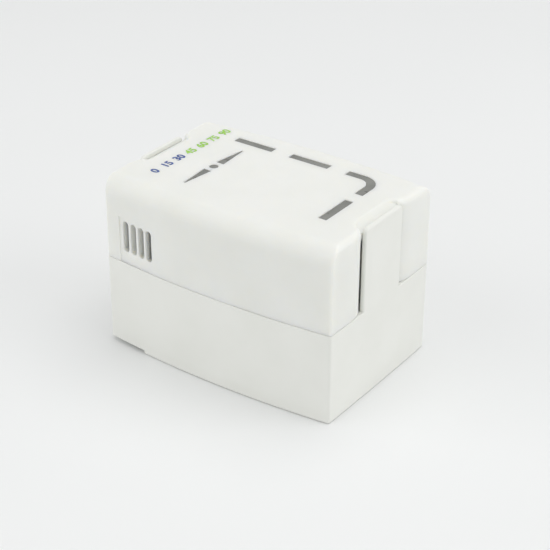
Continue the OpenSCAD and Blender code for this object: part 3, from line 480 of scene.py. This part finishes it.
board_green = circuit_board("board_green", (0.012, 0.075, 0.030), (0.016, 0.095, 0.038), (0.035, 0.17, 0.062))
give(board_green, nodes["supply_board"], nodes["display_board"], nodes["position_board"])
board_white = circuit_board("board_white", (0.66, 0.67, 0.64), (0.70, 0.71, 0.68), (0.74, 0.75, 0.72))
give(board_white, nodes["air_sensor_board"])


# Parts soldered to the boards: the green screw terminal, the sleeved capacitor, the flat cable,
# the header pins, the light sources and the small air sensor in its plated metal cap.
terminal_dark, terminal_light = (0.030, 0.20, 0.075), (0.040, 0.24, 0.095)
terminal_green = moulded_plastic("terminal_green", terminal_dark, terminal_light, 0.40, 0.4, 0.1, 160)
give(terminal_green, nodes["terminal_block"])
sleeve_dark, sleeve_light = (0.018, 0.030, 0.085), (0.026, 0.042, 0.115)
capacitor_sleeve = moulded_plastic("capacitor_sleeve", sleeve_dark, sleeve_light, 0.30, 0.8, 0.05, 120)
give(capacitor_sleeve, nodes["supply_capacitor"])
cable_grey = moulded_plastic("cable_grey", (0.30, 0.30, 0.31), (0.38, 0.38, 0.39), 0.5, 1.2, 0.3, 200)
give(cable_grey, nodes["ribbon_cable"])
gold_pins = turned_metal("gold_pins", (0.62, 0.45, 0.16), (0.72, 0.54, 0.22), 0.28, 500)
give(gold_pins, nodes["position_header"])
lamp_resin = moulded_plastic("lamp", (0.72, 0.66, 0.36), (0.80, 0.76, 0.52), 0.35, 0.5, 0.08, 700)
give(lamp_resin, nodes["display_leds"])
give(plated_can, nodes["air_sensor"])


# Cover shell: the white upper half, moulded like the base, with a large round along its long top
# edges and an open recess in each end for a tongue. Windows for the light guides are cut through
# its top, and four slots through a shallow flat in its side let air to the sensor.
cover_low, cover_top = 39.12, 75.0
shoulder, end_edge, recess_rim = 7.5, 2.4, 1.6
inner_corner, ceiling_soft = 0.4, 0.4
recess_wall, recess_half, recess_turn = 48.6, 13.5, 6.0
mouth_deep, mouth_wide, mouth_throat = 3.0, 7.5, 0.05


def cover_ring(z, side_in, end_in, grow, corner):
    """One ring of the cover, with the recess in each end opened out by a growth."""
    deep = max(sharpest_corner, mouth_deep - min(grow, end_in))
    wide = max(sharpest_corner, mouth_wide - min(grow, end_in))
    wall_x, wall_y = recess_wall - grow, recess_half + grow
    cy = wall_y + wide
    cx = end_x(cy, end_in + deep)
    turn_deep, turn_wide = cx - wall_x - mouth_throat, recess_turn + grow
    bend = corner_and_side(side_in, end_in, corner)
    quarter = [(wall_x, (wall_y - turn_wide) * i / 5) for i in range(5)]
    quarter += [(wall_x + turn_deep * (1 + x), wall_y - turn_wide * (1 - y))
                for x, y in arc(0, 0, 1, math.pi, math.pi / 2, 12)]
    quarter += [(cx + deep * x, cy + wide * y) for x, y in arc(0, 0, 1, -math.pi / 2, 0, 14)]
    low, high = quarter[-1][1], bend[0][1]
    rest = [low + (high - low) * i / 8 for i in range(1, 8)]
    return whole_plan(quarter + [(end_x(y, end_in), y) for y in rest] + bend, z)


def edge_in(z, r):
    """How far a top edge of radius r has drawn in at height z of the cover."""
    above = max(0.0, z - (cover_top - r))
    return r - math.sqrt(max(0.0, r * r - above * above))


ceiling, outside = [], []
inner_shoulder = shoulder - wall
for k in range(9):
    a = math.pi / 2 * (1 - k / 8)
    z = cover_top - shoulder + inner_shoulder * math.sin(a)
    inset = wall if k else wall + ceiling_soft
    ceiling.append(cover_ring(z, shoulder - inner_shoulder * math.cos(a), inset, inset, inner_corner))
for k in range(23):
    a = math.pi / 2 * k / 22
    z = cover_top - shoulder + shoulder * math.sin(a)
    side_in = shoulder - shoulder * math.cos(a)
    outside.append(cover_ring(z, side_in, edge_in(z, end_edge), edge_in(z, recess_rim), upright_round))
cover_rim = [cover_ring(cover_low + rise, inset, inset, inset, corner) for rise, inset, corner in (
    (0.28, wall, inner_corner),
    (0.06, 2.42, inner_corner),
    (0.0, 2.2, upright_round),
    (0.0, 0.30, upright_round),
    (0.03, 0.17, upright_round),
    (0.11, 0.06, upright_round),
    (0.30, 0.0, upright_round))]
cover_shell = stack_rings("cover_housing", ceiling + cover_rim + outside)

catch_low, catch_reach, catch_half = 69.6, 52.2, 14.0
catch_root = recess_wall - recess_rim
slope_high, slope_low = (47.7, 74.8), 72.55


def catch_ledge(side):
    """A ledge across one recess behind the tongue, sloped to run up into the rim."""
    profile = [(catch_root, catch_low), (catch_reach, catch_low), (catch_reach, slope_low), slope_high]
    profile.append((catch_root, slope_high[1]))
    ends = (-catch_half, catch_half)
    return stack_rings("catch_ledge", [[(side * x, y, z) for x, z in profile] for y in ends])


carve(cover_shell, [catch_ledge(side) for side in (-1, 1)], "UNION")

row_y, row_x = 22.8, 36.5
stroke, dash = 3.6, 18.5
dash_places, end_dash_place = (-22.45, 4.65), -6.75
bend_round, bend_left, bend_low = 6.8, 14.0, 13.8
flap_x, flap_y = -23.7, -3.4
flap_turn = math.radians(-1.7)
dot_round, dot_gap = 1.8, 2.0
pointer_long, pointer_tip = 14.5, 0.3
window_gap = 0.08


def rounded_box(cx, cy, lx, ly, grow, r=0.25):
    """A straight stroke with softened corners, opened out by a growth."""
    hx, hy = lx / 2 + grow, ly / 2 + grow
    r = r + grow
    points = []
    for sx, sy, turns in ((1, 1, 0), (-1, 1, 1), (-1, -1, 2), (1, -1, 3)):
        start, stop = turns * math.pi / 2, (turns + 1) * math.pi / 2
        points += arc(cx + sx * (hx - r), cy + sy * (hy - r), r, start, stop, 5)
    return points


def turned_stroke(grow):
    """The stroke that turns the corner, from the row of dashes to the end."""
    half = stroke / 2 + grow
    bx, by = row_x - bend_round, row_y - bend_round
    left, low = row_x - bend_left - grow, row_y - bend_low - grow
    outer = arc(bx, by, bend_round + half, 0, math.pi / 2, 14)
    inner = arc(bx, by, bend_round - half, math.pi / 2, 0, 14)
    start = [(left, row_y + half), (left, row_y - half)]
    return [(row_x + half, low)] + outer + start + inner + [(row_x - half, low)]


def flap_pointer(side, grow):
    """One tapered pointer of the flap symbol, pointing away from the dot."""
    root = dot_round + dot_gap
    near, far = side * (root - grow), side * (root + pointer_long + grow)
    wide, thin = side * (stroke / 2 + grow), side * (pointer_tip + grow)
    cos, sin = math.cos(flap_turn), math.sin(flap_turn)
    points = ((-wide, near), (wide, near), (thin, far), (-thin, far))
    return [(flap_x + x * cos - y * sin, flap_y + x * sin + y * cos) for x, y in points]


def window_cutter(outline):
    """A cutter for one light window, flared at its mouth so that the edge comes out soft."""
    levels = ((-4.0, 0.0), (-0.15, 0.0), (-0.07, 0.02), (-0.02, 0.07), (0.0, 0.13), (0.3, 0.4))
    return stack_rings("window_cutter", [
        [(x, y, cover_top + rise) for x, y in outline(window_gap + flare)] for rise, flare in levels])


windows = [window_cutter(lambda g, x=x: rounded_box(x, row_y, dash, stroke, g)) for x in dash_places]
windows.append(window_cutter(lambda g: rounded_box(row_x, end_dash_place, stroke, dash, g)))
windows.append(window_cutter(turned_stroke))
windows += [window_cutter(lambda g, s=s: flap_pointer(s, g)) for s in (-1, 1)]
windows.append(window_cutter(lambda g: arc(flap_x, flap_y, dot_round + g, 0, math.tau * 39 / 40, 39)))
carve(cover_shell, windows)

vent_first, vent_pitch, vent_middle = -43.2, 4.14, 51.0
vent_wide, vent_long = 3.0, 13.5
vent_left, vent_right, vent_top = -46.6, -26.78, 59.45
flat_deep = 0.35
flat_start = Vector((vent_left, -side_y(vent_left, 0) + flat_deep, 0))
flat_end = Vector((vent_right, -side_y(vent_right, 0), 0))
flat_turn = math.atan2(flat_end.y - flat_start.y, flat_end.x - flat_start.x)


def turn_to_flat(piece):
    """Sets a cutter or a pad against the shallow flat in the side."""
    bpy.ops.object.select_all(action="DESELECT")
    piece.select_set(True)
    bpy.context.view_layer.objects.active = piece
    piece.rotation_euler = (0, 0, flat_turn)
    piece.location = flat_start * mm
    bpy.ops.object.transform_apply(location=True, rotation=True, scale=True)
    return piece


flat_long = (flat_end - flat_start).length
flat_cut = block((0, -6, cover_low - 1), (flat_long, 0, vent_top))
carve(cover_shell, [turn_to_flat(flat_cut)])
pad_start, pad_stop = 1.2, 14.1
pad_front, pad_back = 1.4, 3.2
pad_low, pad_top = 42.0, 60.0
vent_pad = block((pad_start, pad_front, pad_low), (pad_stop, pad_back, pad_top))
carve(cover_shell, [turn_to_flat(vent_pad)], "UNION")


def vent_cutter(x):
    """A rounded slot cutter, drawn out through the flat and flared at its mouth."""
    along = (x - vent_left) / math.cos(flat_turn)
    half = (vent_long - vent_wide) / 2
    rings = []
    for depth, flare in ((8.0, 0.0), (0.3, 0.0), (0.15, 0.04), (0.05, 0.13), (0.0, 0.26), (-0.4, 0.5)):
        r = vent_wide / 2 + flare
        outline = arc(0, vent_middle + half, r, 0, math.pi, 14)
        outline += arc(0, vent_middle - half, r, math.pi, math.tau, 14)
        rings.append([(along + px, depth, pz) for px, pz in outline])
    return turn_to_flat(stack_rings("vent_cutter", rings))


carve(cover_shell, [vent_cutter(vent_first + vent_pitch * k) for k in range(4)])
clean_and_smooth(cover_shell)
milky_dark, milky_light = (0.836, 0.843, 0.799), (0.860, 0.866, 0.826)
milky_white = moulded_plastic("milky_white", milky_dark, milky_light,
                              white_rough, white_grain, white_relief)
milky = milky_white.node_tree.nodes["Principled BSDF"]
milky.inputs["Subsurface Weight"].default_value = 1.0
milky.inputs["Subsurface Radius"].default_value = (1.0, 0.95, 0.85)
milky.inputs["Subsurface Scale"].default_value = 2.6 * mm
give(milky_white, cover_shell)
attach(cover_shell, "cover")
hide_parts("cover_shell")


# Light guides: two plates of smoky acrylic, moulded with raised strokes and pressed up into the
# windows from inside. Each stroke ends a little below the top, and unlit they look plain grey.
smoky_dark, smoky_light = (0.150, 0.154, 0.140), (0.212, 0.217, 0.198)
smoky_acrylic = moulded_plastic("smoky_acrylic", smoky_dark, smoky_light, 0.30, 0.9, 0.04, 130)
give(smoky_acrylic, nodes["pointer_light_guide"], nodes["frame_light_guide"])


# Angle scale printed beside the flap symbol: plain numbers in degrees, pad-printed in blue and
# then green ink, far too thin to feel.
number_high, number_pitch = 5.2, 7.6
scale_x, scale_start = -38.2, -20.3
ink_swell, ink_flatten, ink_lift = 0.17, 0.05, 0.006


def ink(name, dark, light):
    """Printing ink, a little glossier than the plastic."""
    return moulded_plastic(name, dark, light, 0.38, 0.3, 0.06, 900)


def printed_number(word, y, finish):
    """One number of the scale, its strokes swollen a little and pressed flat."""
    bpy.ops.object.select_all(action="DESELECT")
    bpy.ops.object.text_add()
    number = bpy.context.object
    number.data.body = word
    number.data.size = number_high * mm
    number.data.bevel_depth = ink_swell * mm
    number.data.bevel_resolution = 0
    number.data.align_x = "CENTER"
    bpy.ops.object.convert(target="MESH")
    number = bpy.context.object
    number.scale = (1, 1, ink_flatten)
    number.rotation_euler = (0, 0, math.pi / 2)
    number.location = (scale_x * mm, y * mm, (cover_top + ink_lift) * mm)
    bpy.ops.object.transform_apply(location=True, rotation=True, scale=True)
    give(finish, number)
    return number


blue_ink = ink("blue_ink", (0.016, 0.066, 0.285), (0.022, 0.080, 0.325))
green_ink = ink("green_ink", (0.325, 0.650, 0.058), (0.360, 0.695, 0.072))
for name, steps, finish in (
        ("angle_scale_low", (0, 1, 2), blue_ink),
        ("angle_scale_high", (3, 4, 5, 6), green_ink)):
    numbers = [printed_number(str(15 * k), scale_start + number_pitch * k, finish) for k in steps]
    scale_print = gather(numbers)
    scale_print.name = name
    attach(scale_print, "cover")


# Latch tongues: a springy white tongue at each end, moulded with the base. It stands in the recess
# of the cover, clear of its walls, until it is bent outwards to free the cover.
tongue_top, tongue_thick = 74.6, 1.9
tongue_corner, outer_edge, inner_edge = 2.6, 1.15, 0.6
front_round, back_round = 0.85, 0.4


def rounded_over(z, r):
    """How far an edge of radius r has drawn in at height z of the tongue."""
    return r - math.sqrt(max(0.0, r * r - max(0.0, z - (tongue_top - r)) ** 2))


def tongue_ring(z):
    """One ring of the right tongue, with all its upright edges softened."""
    edge, inner = rounded_over(z, outer_edge), rounded_over(z, inner_edge)
    half = tongue_half - rounded_over(z, tongue_corner)
    thick = tongue_thick - edge - inner
    front, back = min(front_round, thick * 0.45), min(back_round, thick * 0.3)
    inside = tongue_thick - inner
    front_x, back_x = end_x(half, edge) - front, end_x(half, inside) + back
    face = [(half - front) * (i / 8 - 1) for i in range(17)]
    rear = [(half - back) * (1 - i / 8) for i in range(1, 16)]
    points = [(end_x(y, edge), y) for y in face]
    points += arc(front_x, half - front, front, 0, math.pi / 2, 5)[1:]
    points += arc(back_x, half - back, back, math.pi / 2, math.pi, 4)
    points += [(end_x(y, inside), y) for y in rear]
    points += arc(back_x, back - half, back, math.pi, math.pi * 1.5, 4)
    points += arc(front_x, front - half, front, -math.pi / 2, 0, 5)[:-1]
    return [(x, y, z) for x, y in points]


straight_part = [tongue_ring(z) for z in (base_height, 45, 52, 60, 66, 70)]
rounded_top = [tongue_ring(tongue_top - tongue_corner + tongue_corner * math.sin(math.pi / 2 * k / 18))
               for k in range(19)]
right_tongue = stack_rings("right_tongue", straight_part + rounded_top)
clean_and_smooth(right_tongue, 40)
give(white_plastic, right_tongue)

bpy.ops.object.select_all(action="DESELECT")
right_tongue.select_set(True)
bpy.context.view_layer.objects.active = right_tongue
bpy.ops.object.duplicate()
left_tongue = bpy.context.object
left_tongue.name = "left_tongue"
left_tongue.rotation_euler = (0, 0, math.pi)
bpy.ops.object.transform_apply(location=True, rotation=True, scale=True)
for tongue, body, node in (
        (right_tongue, "latch_right", "latch_tongue_right"),
        (left_tongue, "latch_left", "latch_tongue_left")):
    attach(tongue, body)
    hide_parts(node)


# Stage: a plain pale floor that fades into the white far from the head, a white sky that lights all
# round, and three large soft lamps.
backdrop_white, backdrop_level, sky_level = (1.0, 1.0, 0.995, 1), 0.92, 0.517
fade_start, fade_stop = 0.6, 1.5


def seen_directly(tree):
    """One for rays from the camera, a reflection or glass, and none for the light that falls on things."""
    ray = tree.nodes.new("ShaderNodeLightPath")
    total = ray.outputs["Is Camera Ray"]
    for kind in ("Is Glossy Ray", "Is Transmission Ray"):
        both = tree.nodes.new("ShaderNodeMath")
        both.operation = "MAXIMUM"
        tree.links.new(total, both.inputs[0])
        tree.links.new(ray.outputs[kind], both.inputs[1])
        total = both.outputs[0]
    return total


def fade_to_white(tree):
    """Turns a finish into the white of the backdrop with the distance from the head."""
    away = tree.nodes.new("ShaderNodeVectorMath")
    away.operation = "LENGTH"
    tree.links.new(tree.nodes.new("ShaderNodeTexCoord").outputs["Object"], away.inputs[0])
    fade = tree.nodes.new("ShaderNodeMapRange")
    fade.interpolation_type = "SMOOTHSTEP"
    fade.inputs["From Min"].default_value = fade_start
    fade.inputs["From Max"].default_value = fade_stop
    tree.links.new(away.outputs["Value"], fade.inputs["Value"])
    far = tree.nodes.new("ShaderNodeMath")
    far.operation = "MULTIPLY"
    tree.links.new(fade.outputs["Result"], far.inputs[0])
    tree.links.new(seen_directly(tree), far.inputs[1])
    white = tree.nodes.new("ShaderNodeEmission")
    white.inputs["Color"].default_value = backdrop_white
    white.inputs["Strength"].default_value = backdrop_level
    surface = tree.nodes["Material Output"].inputs["Surface"]
    near = surface.links[0].from_socket
    blend = tree.nodes.new("ShaderNodeMixShader")
    tree.links.new(far.outputs[0], blend.inputs["Fac"])
    tree.links.new(near, blend.inputs[1])
    tree.links.new(white.outputs["Emission"], blend.inputs[2])
    tree.links.new(blend.outputs["Shader"], surface)


bpy.ops.object.select_all(action="DESELECT")
bpy.ops.mesh.primitive_plane_add(size=12, location=(0, 0, -0.2 * mm))
floor = bpy.context.object
floor.name = "floor"
bpy.ops.object.transform_apply(location=True, rotation=True, scale=True)
pale_floor = moulded_plastic("pale_floor", (0.86, 0.87, 0.87), (0.875, 0.885, 0.885), 0.6, 0.8, 0.02, 3)
fade_to_white(pale_floor.node_tree)
give(pale_floor, floor)

world = bpy.data.worlds.new("studio")
bpy.context.scene.world = world
world.use_nodes = True
sky = world.node_tree.nodes["Background"]
sky.inputs["Color"].default_value = backdrop_white
level = world.node_tree.nodes.new("ShaderNodeMapRange")
level.inputs["To Min"].default_value = sky_level
level.inputs["To Max"].default_value = backdrop_level
world.node_tree.links.new(seen_directly(world.node_tree), level.inputs["Value"])
world.node_tree.links.new(level.outputs["Result"], sky.inputs["Strength"])

head_middle = Vector((0, 0, 0.04))


def soft_lamp(name, place, size, power):
    """A large square lamp that faces the middle of the head."""
    bpy.ops.object.light_add(type="AREA", location=place)
    lamp = bpy.context.object
    lamp.name = name
    lamp.data.size = size
    lamp.data.energy = power
    lamp.rotation_euler = (Vector(place) - head_middle).to_track_quat("Z", "Y").to_euler()


soft_lamp("lamp_above", (0.15, 0.25, 1.3), 1.1, 5.9)
soft_lamp("lamp_right", (1.2, 0.32, 0.65), 1.2, 5.1)
soft_lamp("lamp_left", (-0.72, -0.96, 0.65), 1.4, 5.45)


# Camera at the angle of the photograph, with a long lens. It is turned about the drive axis, raised,
# tilted a trace, and moved across and up so that the head comes to its place in the frame.
turn, rise, tilt = math.radians(35.191), math.radians(29.407), math.radians(0.290)
distance, move_across, move_up = 0.65168, 0.0033165, 0.027568
back = Vector((math.sin(turn) * math.cos(rise), -math.cos(turn) * math.cos(rise), math.sin(rise)))
across_level = Vector((math.cos(turn), math.sin(turn), 0))
up_level = back.cross(across_level)
across = math.cos(tilt) * across_level + math.sin(tilt) * up_level
upright = -math.sin(tilt) * across_level + math.cos(tilt) * up_level
bpy.ops.object.camera_add(location=back * distance + across * move_across + upright * move_up)
camera = bpy.context.object
camera.data.sensor_width = 36
camera.data.lens = 102.939
camera.data.clip_start = 0.01
facing = camera.matrix_world.to_3x3()
for i, axis in enumerate((across, upright, back)):
    facing.col[i] = axis
camera.rotation_euler = facing.to_euler()
bpy.context.scene.camera = camera
bpy.context.scene.view_settings.view_transform = "Standard"
